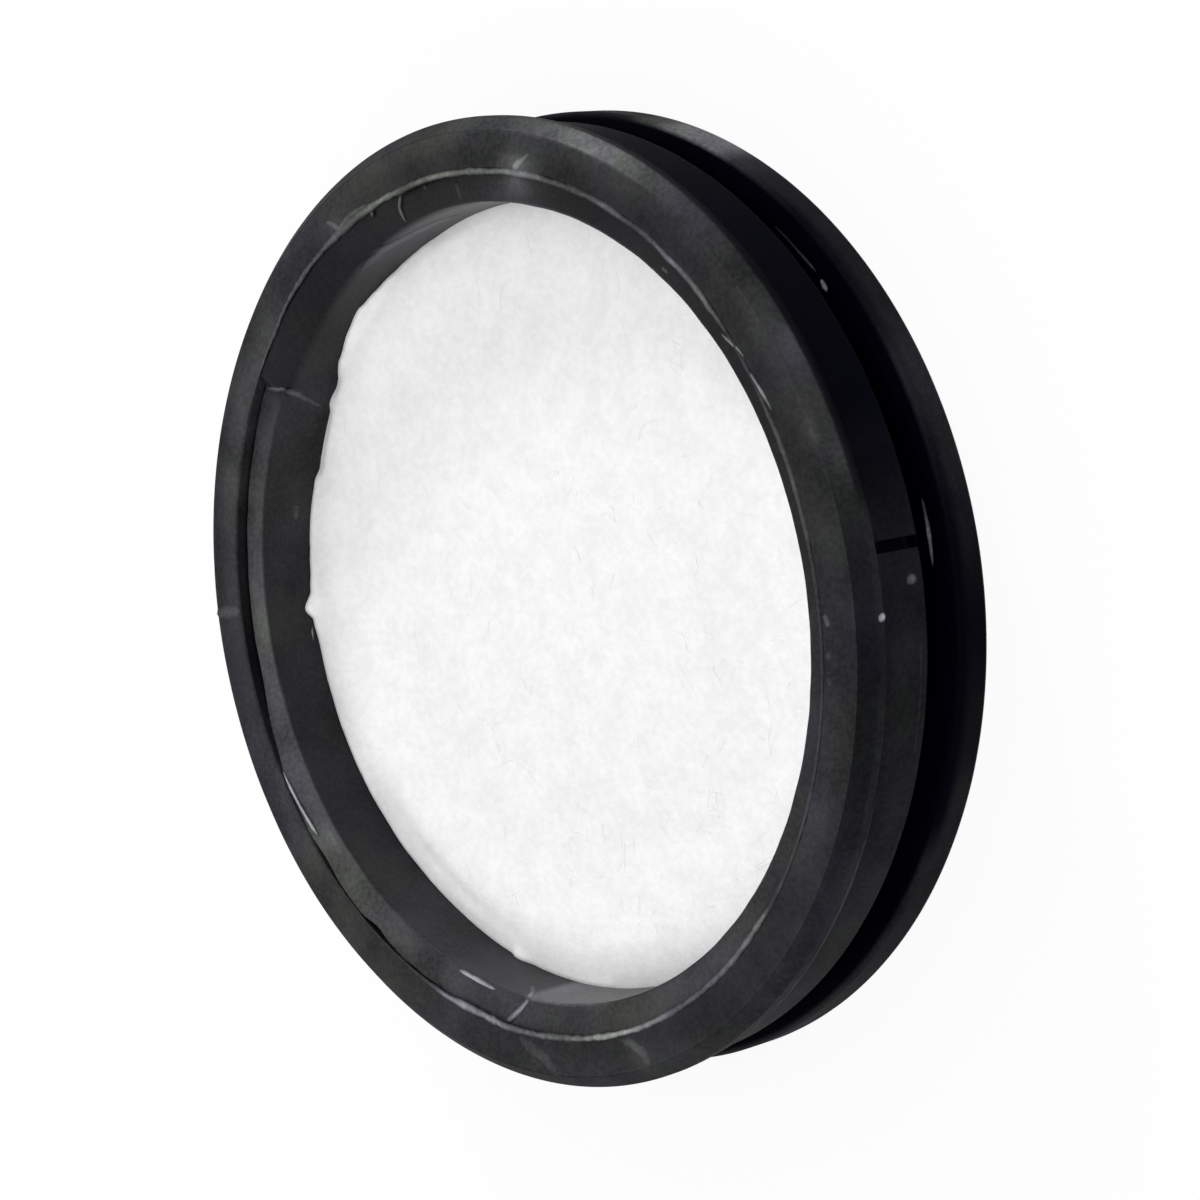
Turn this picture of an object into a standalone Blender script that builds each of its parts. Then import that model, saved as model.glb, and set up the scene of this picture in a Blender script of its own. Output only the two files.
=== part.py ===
"""Round clip-in air intake filter: a rubber mounting ring, a retaining ring and a felt disc.

The part lies on its rear face with the filter's front upwards. The origin is the centre of
the rear face, +Z is the ring's axis and the locating notch faces +X. Units are metres.
"""
import math

import bmesh
import bpy

# Mounting ring, bore
OPENING_RADIUS = 0.02645
REAR_LIP_THICKNESS = 0.0021
COUNTERBORE_STEP = 0.0006

# Mounting ring, outside: heights are measured outwards from the floor of the groove
HUB_WALL = 0.0013
FLANGE_HEIGHT = 0.00275
RIDGE_HEIGHT = 0.00225
BAND_TAPER = 0.0005
FRONT_FLANGE_THICKNESS = 0.0017
BAND_WIDTH = 0.0044
GROOVE_WIDTH = 0.0022
REAR_FLANGE_THICKNESS = 0.0025

# Retaining ring
RETAINER_RECESS = 0.0009
RETAINER_FLANGE_THICKNESS = 0.0010

# Filter disc
DISC_OVERLAP = 0.0012
DISC_THICKNESS = 0.0024
DISC_RIM_RADIUS = 0.0004

# Locating notch across the band
NOTCH_WIDTH = 0.0007
NOTCH_DEPTH = 0.0014

# Chamfer of the front flange's outer corner, and how far its two edges are eased
FRONT_CHAMFER = 0.00085
CHAMFER_EASE = 0.0002

# Edge roundings
FACE_EDGE_RADIUS = 0.00035
FLANGE_EDGE_RADIUS = 0.0004
REAR_CORNER_RADIUS = 0.00015
RETAINER_EDGE_RADIUS = 0.00025

# Running clearance between pieces that touch
CLEARANCE = 0.0003

# Smoothness of the turned pieces
TURN_STEPS = 88
SHARP_ANGLE = math.radians(40.0)

# Sizes that follow from the ones above
RING_DEPTH = FRONT_FLANGE_THICKNESS + BAND_WIDTH + GROOVE_WIDTH + REAR_FLANGE_THICKNESS
BAND_FRONT = RING_DEPTH - FRONT_FLANGE_THICKNESS
BAND_REAR = BAND_FRONT - BAND_WIDTH
DISC_RADIUS = OPENING_RADIUS + DISC_OVERLAP
BORE_RADIUS = DISC_RADIUS + CLEARANCE
GROOVE_FLOOR_RADIUS = BORE_RADIUS + HUB_WALL
RING_RADIUS = GROOVE_FLOOR_RADIUS + FLANGE_HEIGHT
RIDGE_RADIUS = GROOVE_FLOOR_RADIUS + RIDGE_HEIGHT
BAND_RADIUS = RIDGE_RADIUS - BAND_TAPER
COUNTERBORE_RADIUS = BORE_RADIUS + COUNTERBORE_STEP
DISC_REAR = REAR_LIP_THICKNESS + CLEARANCE
DISC_FRONT = DISC_REAR + DISC_THICKNESS
RETAINER_REAR = DISC_FRONT + CLEARANCE
RETAINER_HEIGHT = RING_DEPTH - RETAINER_RECESS - RETAINER_REAR
COUNTERBORE_FLOOR = RING_DEPTH - RETAINER_RECESS - RETAINER_FLANGE_THICKNESS - CLEARANCE

# Colours and finishes
RUBBER = ("black_rubber", (0.014, 0.015, 0.016, 1.0), 0.42)
PLASTIC = ("black_plastic", (0.018, 0.019, 0.019, 1.0), 0.34)
FELT = ("white_felt", (0.88, 0.88, 0.89, 1.0), 0.95)


def clear_scene():
    """Remove the objects that a new Blender file starts with."""
    for item in list(bpy.data.objects):
        bpy.data.objects.remove(item, do_unlink=True)


def new_collection(name):
    """Make a collection in the scene."""
    group = bpy.data.collections.new(name)
    bpy.context.scene.collection.children.link(group)
    return group


def new_material(name, colour, roughness):
    """Make a Principled material of one plain finish."""
    material = bpy.data.materials.new(name)
    material.use_nodes = True
    shader = material.node_tree.nodes["Principled BSDF"]
    shader.inputs["Base Color"].default_value = colour
    shader.inputs["Roughness"].default_value = roughness
    shader.inputs["Metallic"].default_value = 0.0
    material.diffuse_color = colour
    return material


def fillet(before, corner, after, radius, steps):
    """Points of the arc that rounds the corner between two straight stretches."""
    start = [before[k] - corner[k] for k in (0, 1)]
    end = [after[k] - corner[k] for k in (0, 1)]
    start = [value / math.hypot(*start) for value in start]
    end = [value / math.hypot(*end) for value in end]
    half_angle = 0.5 * math.acos(start[0] * end[0] + start[1] * end[1])
    middle = [start[k] + end[k] for k in (0, 1)]
    middle = [value / math.hypot(*middle) for value in middle]
    centre = [corner[k] + middle[k] * radius / math.sin(half_angle) for k in (0, 1)]
    reach = radius / math.tan(half_angle)
    first = [corner[k] + start[k] * reach - centre[k] for k in (0, 1)]
    last = [corner[k] + end[k] * reach - centre[k] for k in (0, 1)]
    turn = math.atan2(first[0] * last[1] - first[1] * last[0], first[0] * last[0] + first[1] * last[1])
    points = []
    for step in range(steps + 1):
        angle = turn * step / steps
        across = first[0] * math.cos(angle) - first[1] * math.sin(angle)
        up = first[0] * math.sin(angle) + first[1] * math.cos(angle)
        points.append((centre[0] + across, centre[1] + up))
    return points


def rounded_outline(corners):
    """Outline through corners given as (radius, height, rounding, arc steps)."""
    points = []
    count = len(corners)
    for index, (across, up, rounding, steps) in enumerate(corners):
        if rounding == 0.0:
            points.append((across, up))
            continue
        before = corners[index - 1]
        after = corners[(index + 1) % count]
        points.extend(fillet(before, (across, up), after, rounding, steps))
    return points


def turned_piece(name, outline, material, group):
    """Turn a closed outline about Z. The outline runs down its outer side."""
    mesh = bpy.data.meshes.new(name)
    vertices = [(across, 0.0, up) for across, up in outline]
    edges = [(index, (index + 1) % len(outline)) for index in range(len(outline))]
    mesh.from_pydata(vertices, edges, [])
    piece = bpy.data.objects.new(name, mesh)
    group.objects.link(piece)
    mesh.materials.append(material)
    screw = piece.modifiers.new("turn", "SCREW")
    screw.axis = "Z"
    screw.angle = math.tau
    screw.steps = TURN_STEPS
    screw.render_steps = TURN_STEPS
    screw.use_merge_vertices = True
    screw.merge_threshold = 0.00001
    screw.use_smooth_shade = True
    return piece


def make_notch_cutter(group):
    """Box that cuts the locating notch through the band, from the flange into the groove."""
    mesh = bpy.data.meshes.new("notch_cutter")
    shape = bmesh.new()
    bmesh.ops.create_cube(shape, size=1.0)
    reach = RING_RADIUS - RIDGE_RADIUS + NOTCH_DEPTH
    height = BAND_WIDTH + GROOVE_WIDTH / 2
    bmesh.ops.scale(shape, vec=(reach, NOTCH_WIDTH, height), verts=shape.verts)
    shape.to_mesh(mesh)
    shape.free()
    cutter = bpy.data.objects.new("notch_cutter", mesh)
    cutter.location = (RING_RADIUS - reach / 2, 0.0, BAND_FRONT - height / 2)
    cutter.display_type = "WIRE"
    cutter.hide_render = True
    group.objects.link(cutter)
    return cutter


def make_mounting_ring(material, group, cutters):
    """Rubber moulding: two flanges, the band and groove between them, and the stepped bore."""
    outline = rounded_outline([
        (COUNTERBORE_RADIUS, RING_DEPTH, FACE_EDGE_RADIUS, 2),
        (RING_RADIUS - FRONT_CHAMFER, RING_DEPTH, CHAMFER_EASE, 1),
        (RING_RADIUS, RING_DEPTH - FRONT_CHAMFER, CHAMFER_EASE, 1),
        (RING_RADIUS, BAND_FRONT, FLANGE_EDGE_RADIUS, 2),
        (BAND_RADIUS, BAND_FRONT, 0.0, 0),
        (RIDGE_RADIUS, BAND_REAR, FLANGE_EDGE_RADIUS, 2),
        (GROOVE_FLOOR_RADIUS, BAND_REAR, 0.0, 0),
        (GROOVE_FLOOR_RADIUS, REAR_FLANGE_THICKNESS, 0.0, 0),
        (RING_RADIUS, REAR_FLANGE_THICKNESS, FLANGE_EDGE_RADIUS, 2),
        (RING_RADIUS, 0.0, REAR_CORNER_RADIUS, 1),
        (OPENING_RADIUS, 0.0, REAR_CORNER_RADIUS, 1),
        (OPENING_RADIUS, REAR_LIP_THICKNESS, FACE_EDGE_RADIUS, 2),
        (BORE_RADIUS, REAR_LIP_THICKNESS, 0.0, 0),
        (BORE_RADIUS, COUNTERBORE_FLOOR, 0.0, 0),
        (COUNTERBORE_RADIUS, COUNTERBORE_FLOOR, 0.0, 0),
    ])
    ring = turned_piece("mounting_ring", outline, material, group)
    notch = ring.modifiers.new("notch", "BOOLEAN")
    notch.operation = "DIFFERENCE"
    notch.solver = "EXACT"
    notch.object = make_notch_cutter(cutters)
    return ring


def make_retaining_ring(material, group):
    """Flanged sleeve that sits in the counterbore and keeps the disc against the rear lip."""
    inner = OPENING_RADIUS
    sleeve = BORE_RADIUS - CLEARANCE
    flange = COUNTERBORE_RADIUS - CLEARANCE
    flange_rear = RETAINER_HEIGHT - RETAINER_FLANGE_THICKNESS
    outline = rounded_outline([
        (inner, RETAINER_HEIGHT, RETAINER_EDGE_RADIUS, 2),
        (flange, RETAINER_HEIGHT, RETAINER_EDGE_RADIUS, 2),
        (flange, flange_rear, 0.0, 0),
        (sleeve, flange_rear, 0.0, 0),
        (sleeve, 0.0, 0.0, 0),
        (inner, 0.0, 0.0, 0),
    ])
    ring = turned_piece("retaining_ring", outline, material, group)
    ring.location.z = RETAINER_REAR
    return ring


def make_filter_disc(material, group):
    """Round pad of felt with softly rounded rims."""
    mesh = bpy.data.meshes.new("filter_disc")
    shape = bmesh.new()
    bmesh.ops.create_cone(
        shape, cap_ends=True, cap_tris=False, segments=TURN_STEPS,
        radius1=DISC_RADIUS, radius2=DISC_RADIUS, depth=DISC_THICKNESS)
    shape.to_mesh(mesh)
    shape.free()
    mesh.shade_smooth()
    mesh.set_sharp_from_angle(angle=SHARP_ANGLE)
    mesh.materials.append(material)
    disc = bpy.data.objects.new("filter_disc", mesh)
    disc.location.z = DISC_REAR + DISC_THICKNESS / 2
    rim = disc.modifiers.new("rim", "BEVEL")
    rim.width = DISC_RIM_RADIUS
    rim.segments = 3
    rim.limit_method = "ANGLE"
    rim.angle_limit = SHARP_ANGLE
    group.objects.link(disc)
    return disc


def main():
    """Build the filter and hang its pieces on one empty at the origin."""
    clear_scene()
    group = new_collection("intake_filter")
    cutters = new_collection("cutters")
    base = bpy.data.objects.new("filter_origin", None)
    group.objects.link(base)
    pieces = [
        make_mounting_ring(new_material(*RUBBER), group, cutters),
        make_retaining_ring(new_material(*PLASTIC), group),
        make_filter_disc(new_material(*FELT), group),
    ]
    for piece in pieces:
        piece.parent = base


main()
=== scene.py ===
"""Looks of the round air intake filter: moulded rubber, satin plastic and needled white felt."""
import math
import random

import bmesh
import bpy
import numpy as np
from mathutils import Matrix, Vector


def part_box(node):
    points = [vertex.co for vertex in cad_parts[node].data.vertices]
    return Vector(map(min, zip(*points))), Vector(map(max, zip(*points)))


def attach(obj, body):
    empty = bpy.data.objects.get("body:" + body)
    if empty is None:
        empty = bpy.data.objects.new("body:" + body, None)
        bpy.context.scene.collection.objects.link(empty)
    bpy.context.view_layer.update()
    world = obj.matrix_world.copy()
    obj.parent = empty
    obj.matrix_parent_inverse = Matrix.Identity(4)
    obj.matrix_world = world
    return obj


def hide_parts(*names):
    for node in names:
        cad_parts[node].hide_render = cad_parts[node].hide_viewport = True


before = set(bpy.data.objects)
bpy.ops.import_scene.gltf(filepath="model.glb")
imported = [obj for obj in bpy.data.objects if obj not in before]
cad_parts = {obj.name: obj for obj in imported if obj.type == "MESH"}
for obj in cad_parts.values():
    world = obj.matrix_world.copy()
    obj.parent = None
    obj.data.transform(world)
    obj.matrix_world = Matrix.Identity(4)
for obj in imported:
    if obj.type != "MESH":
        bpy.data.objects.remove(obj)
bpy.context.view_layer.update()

ROOT = "root"

# Sizes read from the frame, in metres
_, ring_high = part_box("mounting_ring")
retainer_low, retainer_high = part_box("retaining_ring")
disc_low, disc_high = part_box("filter_disc")
RING_RADIUS = ring_high.x
RING_DEPTH = ring_high.z
RETAINER_FLANGE_RADIUS = retainer_high.x
RETAINER_FRONT = retainer_high.z
RETAINER_REAR = retainer_low.z
DISC_RADIUS = disc_high.x
DISC_FRONT = disc_high.z
DISC_REAR = disc_low.z

# Sizes of the two rings that a box can't give, as in the solid model
CLEARANCE = 0.0003
OPENING_RADIUS = 0.02645
HUB_WALL = 0.0013
RIDGE_HEIGHT = 0.00225
BAND_TAPER = 0.0005
BAND_WIDTH = 0.0044
GROOVE_WIDTH = 0.0022
REAR_FLANGE_FRONT = 0.0025
RETAINER_FLANGE_THICKNESS = 0.0010
FRONT_CHAMFER = 0.00085
NOTCH_WIDTH = 0.0007
NOTCH_DEPTH = 0.0014

# Sizes that follow from the ones above
BORE_RADIUS = DISC_RADIUS + CLEARANCE
COUNTERBORE_RADIUS = RETAINER_FLANGE_RADIUS + CLEARANCE
GROOVE_FLOOR_RADIUS = BORE_RADIUS + HUB_WALL
RIDGE_RADIUS = GROOVE_FLOOR_RADIUS + RIDGE_HEIGHT
BAND_RADIUS = RIDGE_RADIUS - BAND_TAPER
BAND_REAR = REAR_FLANGE_FRONT + GROOVE_WIDTH
BAND_FRONT = BAND_REAR + BAND_WIDTH
REAR_LIP_FRONT = DISC_REAR - CLEARANCE
RETAINER_FLANGE_REAR = RETAINER_FRONT - RETAINER_FLANGE_THICKNESS
COUNTERBORE_FLOOR = RETAINER_FLANGE_REAR - CLEARANCE
GROOVE_MIDDLE = 0.0036

# Where the front face's wandering inner edge dies out, and over what width
FACE_EDGE_END = 0.0295
FACE_EDGE_WIDTH = 0.0009

# Roundings of the inner ring's shoulder and of the felt's rim, and where shading turns sharp
SHOULDER_RADIUS = 0.0009
FELT_RIM = 0.0005
SHARP_ANGLE = math.radians(38)

# Stretches of a radius or a height over which painted light or shade, or a shape, changes, as (start, width)
FACE_SHADING_CHANGE = (0.0293, 0.0016)
FLANGE_SHADING_CHANGE = (0.0082, 0.0006)
FLANGE_SHADE_CHANGE = (0.0095, 0.0005)
REAR_SHADE_CHANGE = (0.0013, 0.0008)
RETAINER_LIFT_CHANGE = (0.0266, 0.0019)
RETAINER_REACH_CHANGE = (0.0273, 0.0009)
FELT_CROWN_CHANGE = (0.0205, 0.006)
FELT_EDGE_CHANGE = (0.0256, 0.0008)
FELT_CENTRE_CHANGE = (0.015, 0.010)
FELT_SHADE_CHANGE = (0.0225, 0.0035)

# How finely the pieces are meshed
TURN_STEPS = 480
ROW_SPACING = 0.00045
ARC_STEPS = 4
FELT_CELLS = 216
KNOT_SPACING = 0.0007
ROUNDING_REACH = 1.3

# Marks: the order of their unevenness, their highest relief, and how far edges and undersides sink
MARK_SEED = 6
MARK_RELIEF = 0.00004
MARK_EDGE_SINK = 0.000012
MARK_BASE_SINK = 0.00008

# Dip in the felt where it is pressed down beside the wall
DIP_ANGLE = -134
DIP_SPREAD = 24
DIP_DEPTH = 0.00012
DIP_RADIUS = 0.0249
DIP_WIDTH = 0.0005

# Camera, fitted to the circular edges in the photo. The notch stands at +X in the part.
PHOTO_TURN = 1.08
CAMERA_TILT = math.radians(47.315)
CAMERA_ROLL = math.radians(-10.773)
CAMERA_DISTANCE = 6.5 * RING_RADIUS
AIM_RIGHT = 0.2015 * RING_RADIUS
AIM_DOWN = 0.0174 * RING_RADIUS
LENS = 95.35
SENSOR = 36.0

MM = 0.001

# Kinds of node group socket
FLOAT = "NodeSocketFloat"
INTEGER = "NodeSocketInt"
COLOUR = "NodeSocketColor"
GEOMETRY = "NodeSocketGeometry"
MATERIAL = "NodeSocketMaterial"

# The tables below go round the ring by the photo's angle in degrees, lengths in millimetres.
# Height of the felt's worn edge against the inner wall
FELT_EDGE = (
    (-180, 5.67), (-168, 5.67), (-160, 5.62), (-148, 5.46), (-138, 5.29), (-128, 5.15), (-118, 5.2),
    (-115.5, 5.5), (-112, 5.2), (-97, 5.25), (-94, 5.1), (0, 5.15), (98, 5.1), (102, 5.15), (107, 5.46),
    (112, 5.63), (116, 5.95), (120, 6.27), (122, 6.57), (126.5, 6.33), (132, 5.93), (137.5, 5.25),
    (140, 5.46), (143, 5.08), (151, 5.08), (154, 5.5), (160, 5.66), (168, 5.7), (171, 5.84), (174, 6.5),
    (176, 5.87),
)
# How much darker the felt's rim is
FELT_SHADE = ((-180, 0.0), (-162, 0.02), (-150, 0.18), (-120, 0.2), (-80, 0.2), (-60, 0.0), (90, 0.0))
# Radius of the front face's inner edge
FACE_EDGE = (
    (-180, 28.52), (-150, 28.5), (-125, 28.5), (-108, 28.64), (-60, 28.64), (-35, 28.5), (-10, 28.36),
    (3, 28.32), (17, 28.32), (28, 28.45), (36, 28.6), (60, 28.66), (120, 28.66), (140, 28.55), (160, 28.52),
)
# Gap between the inner ring's flange and the bore
FLANGE_GAP = (
    (-180, 0.12), (-168, 0.07), (-152, 0.04), (-148, 0.3), (-143, 0.1), (-138.5, 0.08), (-134.5, 0.34),
    (-131, 0.08), (-127.5, 0.04), (-125, 0.22), (-121.5, 0.03), (-60, 0.03), (0, 0.1), (60, 0.02),
    (137.6, 0.02), (141, 0.04), (149, 0.12), (165, 0.13),
)
# How far the flange's outer side is drawn up, and the rounding of its inner shoulder
FLANGE_LIFT = (
    (-178, 0.0), (-168, 0.4), (-161, 0.74), (-150, 0.78), (-143, 0.86), (-137, 0.84), (-133, 0.7),
    (-129, 0.72), (-125, 0.84), (-120, 0.64), (-112, 0.68), (-64, 0.55), (-40, 0.0), (60, 0.0), (92, 0.25),
    (100, 0.8), (137.2, 0.82), (138.8, 0.0),
)
SHOULDER = ((-100, 0.0), (70, 0.0), (100, 1.0), (137.2, 1.0), (139.2, 0.0))
# Painted light and shade of the front face towards its rims
FACE_OUTER_SHADING = (
    (-180, 0.006), (-160, 0.03), (-140, 0.03), (-120, 0.02), (-100, 0.028), (-80, 0.012), (-60, 0.0),
    (-30, 0.01), (0, 0.005), (30, 0.02), (60, 0.045), (75, 0.05), (90, 0.05), (105, 0.04), (120, 0.03),
    (135, 0.025), (150, 0.01),
)
FACE_INNER_SHADING = (
    (-180, 0.015), (-160, 0.065), (-140, 0.03), (-120, 0.02), (-100, 0.033), (-80, 0.0), (-48, 0.0),
    (-30, 0.04), (-12, 0.025), (5, 0.01), (20, 0.0), (60, 0.0), (75, 0.02), (90, 0.0), (105, 0.02),
    (120, 0.027), (135, 0.065), (150, 0.07), (165, 0.04),
)
# Painted light and shade of the chamfer, the front flange's side, the band and the rear flange, with painted
# highlights on the chamfer and the rear flange near 60 degrees
CHAMFER_SHADING = (
    (-180, 0.09), (-90, 0.07), (-60, 0.06), (-40, 0.04), (-15, 0.022), (0, 0.028), (12, 0.067), (30, 0.058),
    (45, 0.095), (54, 0.23), (62, 0.32), (70, 0.16), (90, 0.075), (110, 0.07), (140, 0.06),
)
FLANGE_SHADING = (
    (-180, 0.06), (-75, 0.07), (-60, 0.09), (-45, 0.047), (-30, 0.05), (-15, 0.032), (0, 0.043),
    (15, 0.018), (30, 0.012), (45, 0.032), (60, 0.06), (75, 0.06), (100, 0.03),
)
# Share of the front flange's tone that is lost towards its lower edge
FLANGE_SHADE = ((-180, 0.0), (0, 0.0), (8, 0.8), (15, 1.0), (58, 1.0), (68, 0.0))
BAND_SHADING = (
    (-180, 0.04), (-75, 0.08), (-60, 0.07), (-45, 0.045), (-20, 0.035), (0, 0.022), (9, 0.006), (16, 0.0),
    (60, 0.0), (100, 0.02),
)
REAR_SHADING = (
    (-180, 0.03), (-60, 0.04), (-34, 0.033), (-24, 0.01), (-10, 0.002), (0, 0.02), (7, 0.04), (16, 0.045),
    (25, 0.03), (38, 0.025), (46, 0.025), (51, 0.05), (56, 0.38), (61, 0.4), (65, 0.1), (69, 0.02),
    (90, 0.03),
)
# Share of the rear flange's tone that is lost towards its front edge
REAR_SHADE = (
    (-180, 0.0), (-60, 0.0), (-40, 0.2), (-33, 1.0), (-5, 1.0), (5, 0.7), (18, 0.3), (28, 0.6), (40, 0.8),
    (46, 0.0), (90, 0.0),
)
# Soft paler spots: surface, angle, radius, half length round the ring, half width, paleness
SOFT_SPOTS = (
    ("face", 71.2, 29.0, 1.5, 0.55, 0.17), ("ledge", 73.0, 27.8, 1.0, 0.7, 0.17),
    ("ledge", -150.5, 27.2, 1.2, 0.35, 0.09), ("face", 26.9, 30.7, 1.3, 0.6, 0.03),
    ("face", 22.5, 31.65, 1.6, 0.4, 0.05), ("face", 12.6, 30.85, 1.3, 0.4, 0.045),
    ("face", 8.0, 31.7, 1.6, 0.4, 0.04), ("face", 58.0, 31.6, 1.8, 0.5, 0.08),
    ("face", 108.0, 29.3, 1.6, 0.7, 0.04), ("ledge", -136.0, 27.7, 4.5, 0.6, 0.03),
    ("face", -99.0, 30.2, 1.0, 0.9, 0.03), ("face", -80.0, 30.3, 0.9, 0.9, 0.03),
)
# Painted light and shade of the inner ring's ledge and wall, and the radius where the ledge's own painted
# light begins
LEDGE_SHADING = (
    (-180, 0.17), (-172, 0.14), (-160, 0.12), (-145, 0.12), (-120, 0.07), (-105, 0.075), (-60, 0.07),
    (-45, 0.05), (-10, 0.03), (5, 0.0), (60, 0.0), (75, 0.05), (86, 0.0), (137.5, 0.0), (140, 0.06),
    (150, 0.1), (160, 0.14),
)
LEDGE_INSIDE = ((-180, 26.58), (70, 26.58), (84, 26.2), (137.2, 26.2), (138.6, 26.58))
WALL_SHADING = (
    (-180, 0.02), (-150, 0.01), (-120, 0.04), (-104.3, 0.05), (-102.3, 0.28), (-96, 0.26), (-87, 0.12),
    (-80, 0.0), (0, 0.0), (84, 0.12), (95, 0.14), (106, 0.09), (116, 0.03), (126, 0.01), (140, 0.04),
)

# Flash along the front face's inner edge, its paleness a painted highlight: angle, shift, half width and
# paleness
EDGE_FLASH_HIGHLIGHT = (
    (-152, -0.05, 0.06, 0.03), (-128, -0.05, 0.1, 0.05), (-121.5, -0.05, 0.16, 0.12),
    (-118, -0.05, 0.2, 0.38), (-114, -0.2, 0.27, 0.58), (-110, -0.28, 0.29, 0.68),
    (-106, -0.08, 0.24, 0.45), (-100, -0.1, 0.2, 0.36), (-93, -0.12, 0.2, 0.38), (-89, -0.08, 0.2, 0.65),
    (-86, -0.08, 0.2, 1.0), (-82, -0.08, 0.19, 0.9), (-78, -0.08, 0.19, 0.45), (-72, -0.15, 0.2, 0.3),
    (-67, -0.15, 0.2, 0.2), (-56, -0.2, 0.2, 0.23), (-50, -0.2, 0.2, 0.38), (-47, -0.1, 0.14, 0.12),
    (-40, -0.08, 0.1, 0.05), (-12, -0.08, 0.1, 0.03), (0, -0.12, 0.14, 0.06), (8, -0.1, 0.18, 0.15),
    (14, -0.08, 0.2, 0.2), (17, -0.1, 0.18, 0.16), (20, -0.1, 0.12, 0.05), (29.5, -0.1, 0.12, 0.08),
    (33, -0.2, 0.2, 0.3), (38, -0.1, 0.2, 0.2), (42, -0.18, 0.2, 0.36), (46, -0.08, 0.18, 0.17),
    (50, -0.14, 0.14, 0.1), (54, -0.14, 0.2, 0.25), (60, -0.12, 0.18, 0.22), (65, -0.18, 0.18, 0.2),
    (70, -0.12, 0.2, 0.3), (78, -0.18, 0.2, 0.34), (84, -0.12, 0.2, 0.32), (90, -0.08, 0.2, 0.33),
    (94, -0.15, 0.2, 0.14), (98, -0.1, 0.2, 0.32), (103, -0.05, 0.26, 0.22), (108, 0.0, 0.26, 0.14),
    (114, 0.0, 0.2, 0.24), (118, 0.05, 0.2, 0.38), (124, 0.07, 0.2, 0.24), (130, -0.05, 0.2, 0.1),
    (134, -0.03, 0.14, 0.18), (138, 0.0, 0.12, 0.1), (146, 0.0, 0.06, 0.03),
)

# Marks as low pale ridges: creases, flash and specks whose paleness is partly painted highlight. Each is a
# surface, then places of (angle, radius or height, half width, paleness)
RING_MARKS = (
    ("face", (17, 28.64, 0.08, 0.15), (20, 28.5, 0.13, 0.45), (22, 28.36, 0.13, 0.45),
     (23.5, 28.3, 0.08, 0.25)),
    ("face", (24.5, 28.64, 0.08, 0.25), (26.5, 28.4, 0.13, 0.45), (28.3, 28.12, 0.13, 0.45),
     (29.4, 28.0, 0.08, 0.25)),
    ("face", (173.3, 31.3, 0.42, 0.08), (173.1, 29.9, 0.46, 0.11), (172.9, 28.5, 0.46, 0.1)),
    ("face", (-7.6, 28.7, 0.2, 0.12), (-8.6, 28.85, 0.26, 0.22), (-9.3, 28.95, 0.2, 0.12)),
    ("face", (-12.0, 28.72, 0.2, 0.08), (-13.4, 28.88, 0.24, 0.12)),
    ("face", (-15.2, 28.85, 0.2, 0.09), (-16.4, 28.95, 0.2, 0.1)),
    ("face", (110.2, 29.95, 0.17, 0.1), (109.4, 29.5, 0.2, 0.13), (108.4, 28.75, 0.2, 0.17)),
    ("face", (110.8, 28.7, 0.12, 0.1), (109.0, 28.8, 0.2, 0.14), (105.7, 29.05, 0.2, 0.14),
     (101.1, 28.8, 0.14, 0.12)),
    ("face", (68.7, 29.95, 0.14, 0.08), (70.0, 29.4, 0.2, 0.22), (71.8, 28.8, 0.3, 0.24)),
    ("face", (-78.9, 31.1, 0.34, 0.05), (-79.6, 30.0, 0.4, 0.08), (-81.2, 29.3, 0.38, 0.09),
     (-83, 28.95, 0.28, 0.07)),
    ("face", (-95.6, 31.1, 0.36, 0.05), (-98, 30.1, 0.42, 0.08), (-100.5, 29.5, 0.4, 0.08),
     (-102.8, 29.0, 0.28, 0.06)),
)
# On the flange side, band and rear flange these are mostly painted glints and highlights.
SIDE_MARKS = (
    ("side", (-8.6, 9.8, 0.2, 0.4), (-8.3, 9.45, 0.32, 1.0), (-8.3, 9.15, 0.2, 0.4)),
    ("side", (-28, 9.2, 0.1, 0.03), (-40, 9.2, 0.14, 0.05), (-55, 9.2, 0.14, 0.08), (-70, 9.2, 0.1, 0.05)),
    ("band", (-5.4, 6.3, 0.2, 0.1), (-5.1, 5.8, 0.34, 0.26), (-5.1, 5.4, 0.2, 0.1)),
    ("band", (-45, 8.5, 0.1, 0.02), (-15, 8.5, 0.1, 0.02)),
    ("band", (-25, 5.5, 0.1, 0.03), (-12, 5.5, 0.1, 0.03)),
    ("rear", (4, 30.35, 0.08, 0.15), (2, 30.33, 0.12, 0.3), (-0.8, 30.28, 0.17, 0.85),
     (-2.8, 30.25, 0.14, 0.7), (-4.8, 30.2, 0.08, 0.2)),
    ("rear", (42, 30.3, 0.08, 0.06), (37.5, 30.28, 0.1, 0.12), (33.2, 30.32, 0.1, 0.2)),
    ("rear", (32.5, 30.26, 0.12, 0.5), (31.5, 30.17, 0.2, 1.2), (30.7, 30.1, 0.12, 0.7)),
)
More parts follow.
